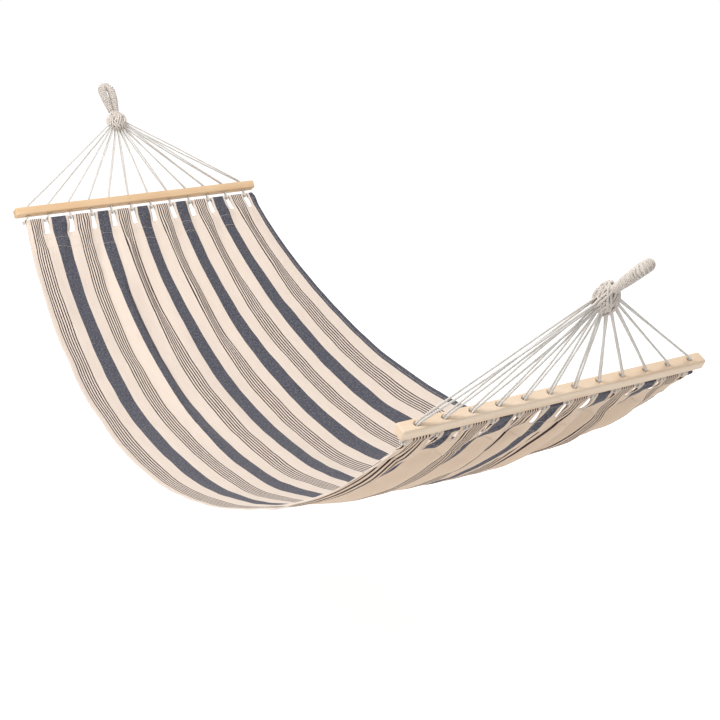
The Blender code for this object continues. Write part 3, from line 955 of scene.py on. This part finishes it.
# Folds that run along the bed. Each is a step across the sheet: place in tab
# pitches from the middle, fall towards +Y in mm, half width in mm, from, to in
# metres from the hem, drift in mm per metre
FOLDS = {
    "head": [(-5.05, 10.0, 12.0, 0.01, 0.10, 0.0), (-4.95, -7.0, 18.0, 0.08, 0.60, 0.0),
             (-3.95, 7.0, 14.0, 0.05, 0.20, 0.0), (-3.00, -5.0, 17.0, 0.06, 0.60, 6.0),
             (-2.45, -13.0, 18.0, 0.10, 0.95, 4.0),
             (-1.98, 23.0, 15.0, 0.20, 1.22, 5.0), (-1.08, 28.0, 13.0, 0.03, 0.66, 8.0),
             (-0.45, -11.0, 16.0, 0.04, 0.55, 0.0), (0.02, 8.0, 12.0, 0.03, 0.14, 0.0),
             (0.50, -9.0, 18.0, 0.05, 0.60, 6.0), (1.02, 15.0, 13.0, 0.03, 0.75, 6.0),
             (1.55, -7.0, 16.0, 0.10, 0.80, 0.0), (2.02, 8.0, 12.0, 0.03, 0.20, 0.0),
             (2.48, -10.0, 16.0, 0.03, 0.42, 0.0), (3.00, 17.0, 13.0, 0.03, 0.52, 8.0),
             (3.55, -8.0, 16.0, 0.05, 0.50, 0.0), (4.45, -9.0, 16.0, 0.04, 0.55, 0.0),
             (5.00, 19.0, 13.0, 0.02, 0.50, 8.0)],
    "foot": [(-5.30, -13.0, 17.0, 0.03, 0.60, 0.0), (-4.55, -26.0, 18.0, 0.04, 0.66, -10.0),
             (-3.45, 26.0, 18.0, 0.04, 0.66, -6.0), (-2.55, -25.0, 17.0, 0.04, 0.60, 0.0),
             (-1.45, 24.0, 17.0, 0.04, 0.55, 6.0), (-0.60, 12.0, 15.0, 0.04, 0.40, 0.0),
             (0.60, -16.0, 15.0, 0.05, 0.50, 8.0), (1.30, 14.0, 15.0, 0.05, 0.45, 6.0),
             (1.75, -20.0, 16.0, 0.04, 0.60, 6.0), (2.60, 22.0, 17.0, 0.04, 0.60, 8.0),
             (3.45, -22.0, 17.0, 0.04, 0.55, 6.0), (4.50, 22.0, 18.0, 0.04, 0.60, 0.0),
             (5.20, -10.0, 15.0, 0.04, 0.50, 0.0)],
}


def fold_height(dist, total):
    """Height of the folds off the smooth sheet, in metres."""
    rows = len(dist)
    height = np.zeros((rows, COL_COUNT))
    for end, near in (("head", dist), ("foot", total - dist)):
        for place, fall, half, start, stop, drift in FOLDS[end]:
            centre = place * CLOTH_PITCH + 0.001 * drift * (near - start)
            weight = (smoothstep((near - start) / min(0.09, 0.5 * (stop - start)))
                      * smoothstep((stop - near) / (0.6 * (stop - start))))
            spread = 0.001 * half * (1.0 + 0.5 * np.clip(near - start, 0.0, 1.0))
            x = (COLS[None, :] - centre[:, None]) / spread[:, None]
            height -= 0.0005 * fall * weight[:, None] * x * np.exp(0.5 - 0.5 * x * x)
    # gathers: tabs are at the crests, windows in the troughs
    gathers = np.cos(TAU * COLS / CLOTH_PITCH)[None, :]
    vary = 1.0 + 0.45 * soft_noise(rows, (5, 14), seed=3)
    size = 0.0068 * (np.exp(-dist / 0.10) + np.exp(-(total - dist) / 0.10))
    off_hem = np.clip(np.minimum(dist, total - dist) / 0.05, 0.0, 1.0)
    waves = (0.0042 * soft_noise(rows, (3, 9), seed=5)
             + 0.0030 * soft_noise(rows, (6, 22), seed=9))
    return (size[:, None] * gathers * vary + waves) * off_hem[:, None] + height


SOLVE_STEPS, SOLVE_PASSES = 260, 5
GRAVITY = np.array([0.0, 0.0, -0.00006])         # metres per step squared
DAMPING = 0.90                                   # share of the speed kept each step
GOAL_PULL, EDGE_PULL = 0.020, 0.05               # pull towards the goal; at the side edges


def drape(dist, smooth, goal, total):
    """Position-based cloth solve: the hem rows are held, the cloth is wider than
    the room between the bars, and the spare width works itself into folds."""
    goal[0] = smooth[0]
    goal[-1] = smooth[-1]
    x = goal.copy()
    rows = len(dist)
    rest_along = np.linalg.norm(np.diff(smooth, axis=0), axis=2) * 0.9995
    rest_across = np.linalg.norm(np.diff(goal, axis=1), axis=2)
    open_row = np.minimum(dist, total - dist) < WINDOW_DEPTH - 1e-6
    act_across = np.ones((rows, COL_COUNT - 1), bool)
    act_across[np.ix_(open_row, WINDOW)] = False
    # the middle column of a window is empty there
    empty = np.zeros((rows, COL_COUNT), bool)
    empty[:, 1:-1] = open_row[:, None] & (WINDOW[:-1] & WINDOW[1:])[None, :]
    mobility = np.ones((rows, COL_COUNT))
    mobility[0] = mobility[-1] = 0.0
    mobility[empty] = 0.0
    loose = mobility > 0.0

    def pull(one, other, rest, active, stiffness):
        """Move two sets of points towards their rest distance."""
        gap = x[other] - x[one]
        length = np.sqrt(np.einsum("ijk,ijk->ij", gap, gap)) + 1e-12
        both = mobility[one] + mobility[other]
        share = stiffness * (length - rest) / (length * np.maximum(both, 1e-9))
        share = np.where(active & (both > 0.0), share, 0.0)[..., None]
        x[one] += share * mobility[one][..., None] * gap
        x[other] -= share * mobility[other][..., None] * gap

    def pull_lines(axis, step, rest, active, stiffness):
        count = x.shape[axis]
        for start in range(2 * step):
            one = slice(start, count - step, 2 * step)
            other = slice(start + step, count, 2 * step)
            if axis == 1:
                one, other = (slice(None), one), (slice(None), other)
            pull(one, other, rest[one], active[one], stiffness)

    left, right = slice(0, COL_COUNT - 1), slice(1, COL_COUNT)

    def pull_diagonals(first_cols, second_cols):
        for start in (0, 1):
            one, other = slice(start, rows - 1, 2), slice(start + 1, rows, 2)
            pull((one, first_cols), (other, second_cols), rest_diag[one],
                 act_across[one] & act_across[other], stiffness=0.25)

    rest_diag = np.sqrt(0.25 * (rest_along[:, 1:] + rest_along[:, :-1]) ** 2
                        + 0.25 * (rest_across[1:] + rest_across[:-1]) ** 2)
    act_along = ~empty[1:] & ~empty[:-1]
    # springs over two cells resist bending
    rest_along2 = rest_along[1:] + rest_along[:-1]
    act_along2 = act_along[1:] & act_along[:-1]
    rest_across2 = rest_across[:, 1:] + rest_across[:, :-1]
    act_across2 = act_across[:, 1:] & act_across[:, :-1]
    goal_pull = np.full((rows, COL_COUNT), GOAL_PULL)
    goal_pull[:, :2] = EDGE_PULL
    goal_pull[:, -2:] = EDGE_PULL
    old = x.copy()
    for _ in range(SOLVE_STEPS):
        velocity = (x - old) * DAMPING
        old = x.copy()
        x += (velocity + GRAVITY) * loose[..., None]
        x += (goal - x) * (goal_pull * loose)[..., None]
        for _ in range(SOLVE_PASSES):
            pull_lines(0, 1, rest_along, act_along, stiffness=1.0)
            pull_lines(1, 1, rest_across, act_across, stiffness=0.9)
            pull_diagonals(left, right)
            pull_diagonals(right, left)
            pull_lines(0, 2, rest_along2, act_along2, stiffness=0.20)
        pull_lines(1, 2, rest_across2, act_across2, stiffness=0.12)
    # empty window columns sit between their neighbours
    for k in np.nonzero(empty.any(axis=0))[0]:
        x[open_row, k] = 0.5 * (x[open_row, k - 1] + x[open_row, k + 1])
    return x


def interleave(rows, between):
    both = np.empty((len(rows) + len(between),) + rows.shape[1:])
    both[0::2], both[1::2] = rows, between
    return both


def creases(near):
    """Small creases, strongest beside the gathered hems."""
    rows = len(near)
    free = np.clip((near - WINDOW_DEPTH) / 0.05, 0.0, 1.0)[:, None]
    tab = (np.clip(near / 0.020, 0.0, 1.0)
           * np.clip((HEM_DEPTH + 0.05 - near) / 0.06, 0.0, 1.0))[:, None]
    crumple = (0.0036 * soft_noise(rows, (70, 40), seed=31)
               + 0.0020 * soft_noise(rows, (110, 62), seed=32))
    crease = (0.0045 * soft_noise(rows, (22, 13), seed=21)
              + 0.0016 * soft_noise(rows, (60, 30), seed=22))
    pucker = np.exp(-np.clip(near - WINDOW_DEPTH, 0.0, None) / 0.10)[:, None]
    crease = crease + 0.0062 * pucker * soft_noise(rows, (40, 44), seed=23)
    return crease * free + crumple * tab


def bed_sheet():
    """Middle sheet of the bed: points, normals, row distances and whole length."""
    dist, travel, total = row_table()
    smooth = target_grid(dist, travel, total)
    sheet = smooth + grid_normals(smooth) * fold_height(dist, total)[..., None]
    sheet = drape(dist, smooth, sheet, total)
    # twice as many rows, along a smooth curve through the solved ones
    between = 0.5 * (sheet[1:] + sheet[:-1])
    between[1:-1] = (9.0 * (sheet[1:-2] + sheet[2:-1]) - (sheet[:-3] + sheet[3:])) / 16.0
    sheet = interleave(sheet, between)
    dist = interleave(dist, 0.5 * (dist[1:] + dist[:-1]))
    near = np.minimum(dist, total - dist)
    # ease the column-to-column jitter without touching the rows with windows
    blur = sheet.copy()
    blur[:, 1:-1] = 0.7 * sheet[:, 1:-1] + 0.15 * (sheet[:, :-2] + sheet[:, 2:])
    free = near > WINDOW_DEPTH + 0.004
    sheet[free] = blur[free]
    sheet = sheet + grid_normals(sheet) * creases(near)[..., None]
    return sheet, grid_normals(sheet), dist, total


def hem_turn(sheet, normals, dist, total, end):
    """Rows of the flap from its free edge to the hem cord, then round the cord.
    Each row is its points, cloth coordinate along, hem share and whether windows are cut."""
    near = dist if end is HEAD else total - dist
    first, second = (0, 1) if end is HEAD else (-1, -2)
    rows = []
    for k in sorted(np.nonzero(near <= HEM_DEPTH + 1e-6)[0], key=lambda k: -near[k]):
        points = sheet[k] - normals[k] * layer_gap(near[k])
        along = -near[k] if end is HEAD else total + near[k]
        rows.append((points, along, 1.0, near[k] < WINDOW_DEPTH - 1e-6))
    inward = sheet[second] - sheet[first]
    inward /= np.linalg.norm(inward, axis=1)[:, None]
    normal = normals[first]
    normal = normal - inward * np.einsum("ij,ij->i", normal, inward)[:, None]
    normal /= np.linalg.norm(normal, axis=1)[:, None]
    for k in range(7, 0, -1):
        angle = math.pi * k / 8.0
        points = sheet[first] + CORD_GAP * (normal * math.cos(angle) - inward * math.sin(angle))
        rows.append((points, 0.0 if end is HEAD else total, 1.0, True))
    return rows


def bed_piece(sheet, normals, dist, total):
    near = np.minimum(dist, total - dist)
    # the sheet lies over the hem cord at each end and closes on the flap below it
    top = sheet + normals * layer_gap(near)[:, None, None]
    rows = hem_turn(sheet, normals, dist, total, HEAD)
    for k in range(len(dist)):
        hem = np.clip(1.0 - (near[k] - HEM_DEPTH) / 0.12, 0.0, 1.0)
        rows.append((top[k], dist[k], hem, near[k] < WINDOW_DEPTH - 1e-6))
    rows += hem_turn(sheet, normals, dist, total, FOOT)[::-1]

    verts = np.vstack([points for points, _, _, _ in rows])
    cloth = np.vstack([np.stack([COLS, np.full(COL_COUNT, along), np.full(COL_COUNT, hem)], 1)
                       for _, along, hem, _ in rows])
    faces = []
    for i in range(len(rows) - 1):
        is_open = rows[i][3] or rows[i + 1][3]
        for j in range(COL_COUNT - 1):
            if is_open and WINDOW[j]:
                continue
            corner = i * COL_COUNT + j
            faces.append((corner, corner + 1, corner + 1 + COL_COUNT, corner + COL_COUNT))
    used = np.zeros(len(verts), bool)
    used[np.array(faces).ravel()] = True
    index = np.cumsum(used) - 1
    faces = [tuple(int(index[i]) for i in face) for face in faces]
    cloth = cloth[used]
    obj = make_object("striped_bed", verts[used], faces, CLOTH, {"cloth": cloth})
    # the side edges are turned under and sewn, so they are about twice as thick
    group = obj.vertex_groups.new(name="thick")
    from_edge = np.minimum(cloth[:, 0] - FRONT_EDGE, BACK_EDGE - cloth[:, 0])
    for i in np.nonzero(from_edge < 0.016)[0]:
        group.add([int(i)], 1.0, "REPLACE")
    thick = obj.modifiers.new("cloth", "SOLIDIFY")
    thick.thickness = 0.0021
    thick.offset = 0.0
    thick.use_rim = True
    thick.vertex_group = "thick"
    thick.thickness_vertex_group = 0.52
    bake_modifiers(obj).shade_smooth()
    attach(obj, "bed", "fabric_bed")


# -------------------------------------------------------------------- stitches
STITCH, STITCH_GAP = 0.0042, 0.0014
STITCH_RADIUS, STITCH_SIDES = 0.00042, 5
# rings of one stitch: place along it, lift off the cloth and size, both in radii
STITCH_RINGS = np.array([(0.0, -0.5, 0.35), (0.12, 0.45, 0.9), (0.5, 0.75, 1.0),
                         (0.88, 0.45, 0.9), (1.0, -0.5, 0.35)])
SEAM_ROWS = (0.0700, 0.1050)   # from the hem cord
SEAM_INSET = 0.0120            # from the side edges


def stitch_run(points, ups):
    """Vertices of each stitch along a seam."""
    places, lifts, sizes = STITCH_RINGS.T
    angles = [TAU * j / STITCH_SIDES for j in range(STITCH_SIDES)]
    run = run_lengths(points)
    found = []
    for k in range(int(run[-1] / (STITCH + STITCH_GAP))):
        at = k * (STITCH + STITCH_GAP) + 0.5 * STITCH_GAP + STITCH * places
        line = sample(points, run, at)
        up = sample(ups, run, at)
        up /= np.linalg.norm(up, axis=1)[:, None]
        side = np.cross(unit(line[-1] - line[0]), up)
        verts = []
        for ring in range(len(places)):
            lift, size = lifts[ring] * STITCH_RADIUS, sizes[ring] * STITCH_RADIUS
            for angle in angles:
                verts.append(line[ring] + up[ring] * (lift + size * math.cos(angle))
                             + side[ring] * size * math.sin(angle))
        found.append(np.array(verts))
    return found


def stitch_faces(base):
    last = base + (len(STITCH_RINGS) - 1) * STITCH_SIDES
    faces = []
    for ring in range(base, last, STITCH_SIDES):
        faces += ring_faces(ring, ring + STITCH_SIDES, STITCH_SIDES)
    faces.append(tuple(range(base, base + STITCH_SIDES))[::-1])
    faces.append(tuple(range(last, last + STITCH_SIDES)))
    return faces


def between_lines(grid, index):
    low = int(index)
    part = index - low
    return grid[low] * (1.0 - part) + grid[low + 1] * part


def stitches(sheet, normals, dist, total):
    """Two rows of sewing across each hem and one along each side edge, both faces."""
    found = []
    for end in ENDS:
        for seam in SEAM_ROWS:
            at = seam if end is HEAD else total - seam
            index = np.interp(at, dist, np.arange(len(dist)))
            line, normal = between_lines(sheet, index), between_lines(normals, index)
            lift = float(layer_gap(seam)) + 0.00056
            for face in (1.0, -1.0):
                found += stitch_run(line + face * normal * lift, face * normal)
    near = np.minimum(dist, total - dist)
    keep = near > 0.012
    gap = layer_gap(near[keep])[:, None]
    for col in (FRONT_EDGE + SEAM_INSET, BACK_EDGE - SEAM_INSET):
        index = np.interp(col, COLS, np.arange(COL_COUNT))
        line = between_lines(sheet.swapaxes(0, 1), index)[keep]
        normal = between_lines(normals.swapaxes(0, 1), index)[keep]
        for face in (1.0, -1.0):
            found += stitch_run(line + normal * (gap + face * 0.00085), face * normal)
    faces = []
    for k in range(len(found)):
        faces += stitch_faces(k * len(STITCH_RINGS) * STITCH_SIDES)
    obj = make_object("hem_stitching", np.vstack(found), faces, THREAD)
    attach(obj, "bed")


SHEET = bed_sheet()
bed_piece(*SHEET)
stitches(*SHEET)

# --------------------------------------------------------- floor, light, camera
FLOOR_Z = -0.42


def glow(tree, socket, as_light, to_camera):
    """Drive a strength that differs between what is lit and what the camera sees."""
    seen = tree.nodes.new("ShaderNodeLightPath")
    level = tree.nodes.new("ShaderNodeMix")
    level.inputs["A"].default_value = as_light
    level.inputs["B"].default_value = to_camera
    tree.links.new(seen.outputs["Is Camera Ray"], level.inputs["Factor"])
    tree.links.new(level.outputs["Result"], socket)


def floor():
    bpy.ops.mesh.primitive_plane_add(size=60.0, location=(0.0, 0.0, FLOOR_Z))
    plane = bpy.context.object
    plane.name = "floor"
    mat = Nodes("floor_paint")
    patches = mat.noise(mat.place(), scale=3.0, detail=2.0)
    colour = mat.tint((0.93, 0.93, 0.93), (0.95, 0.95, 0.95), by=patches, start=0.3, stop=0.7)
    mat.finish(colour, roughness=0.9, specular=0.0)
    mat.shader.inputs["Emission Color"].default_value = (1.0, 1.0, 1.0, 1.0)
    glow(mat.tree, mat.shader.inputs["Emission Strength"], as_light=0.10, to_camera=0.64)
    plane.data.materials.append(mat.material)


def studio_world():
    """Blank white to the camera and dimmer as a light."""
    world = bpy.context.scene.world or bpy.data.worlds.new("studio")
    bpy.context.scene.world = world
    world.use_nodes = True
    tree = world.node_tree
    background = tree.nodes.get("Background") or tree.nodes.new("ShaderNodeBackground")
    background.inputs["Color"].default_value = (1.0, 1.0, 1.0, 1.0)
    glow(tree, background.inputs["Strength"], as_light=0.54, to_camera=1.02)


def area(name, place, aim, size, power, colour=(1.0, 1.0, 1.0)):
    light = bpy.data.lights.new(name, "AREA")
    light.shape = "SQUARE"
    light.size = size
    light.energy = power
    light.color = colour
    obj = link_object(name, light)
    obj.location = place
    obj.rotation_euler = (Vector(aim) - Vector(place)).to_track_quat("-Z", "Y").to_euler()


# the camera looks at a point near the middle of the bars, from in front and the foot
AZIMUTH, ELEVATION, ROLL = 0.98938, 0.27659, -0.02256     # radians
SHIFT_RIGHT, SHIFT_UP, CAMERA_DISTANCE = 0.13348, -0.21803, 3.65340
LENS = 71.651                                             # mm, on a 36 mm sensor


def camera():
    back = np.array([math.sin(AZIMUTH) * math.cos(ELEVATION),
                     -math.cos(AZIMUTH) * math.cos(ELEVATION), math.sin(ELEVATION)])
    level_right = np.array([math.cos(AZIMUTH), math.sin(AZIMUTH), 0.0])
    level_up = np.cross(back, level_right)
    right = math.cos(ROLL) * level_right + math.sin(ROLL) * level_up
    up = -math.sin(ROLL) * level_right + math.cos(ROLL) * level_up
    place = (np.array([MIDDLE_X, 0.0, BAR_Z]) + back * CAMERA_DISTANCE
             + level_right * SHIFT_RIGHT + level_up * SHIFT_UP)
    data = bpy.data.cameras.new("camera")
    data.sensor_width = 36.0
    data.sensor_fit = "HORIZONTAL"
    data.lens = LENS
    data.clip_start = 0.05
    data.clip_end = 200.0
    obj = link_object("camera", data)
    matrix = np.eye(4)
    matrix[:3] = np.stack([right, up, back, place], 1)
    obj.matrix_world = Matrix(matrix.tolist())
    bpy.context.scene.camera = obj


floor()
studio_world()
area("key", place=(0.3, -2.7, 3.0), aim=(-0.1, 0.0, 0.3), size=1.2, power=84.0,
     colour=(1.0, 0.985, 0.965))
area("top", place=(0.9, 0.4, 3.6), aim=(0.0, 0.0, 0.2), size=2.2, power=38.0)
camera()
bpy.context.scene.view_settings.view_transform = "Standard"
bpy.context.scene.view_settings.look = "None"
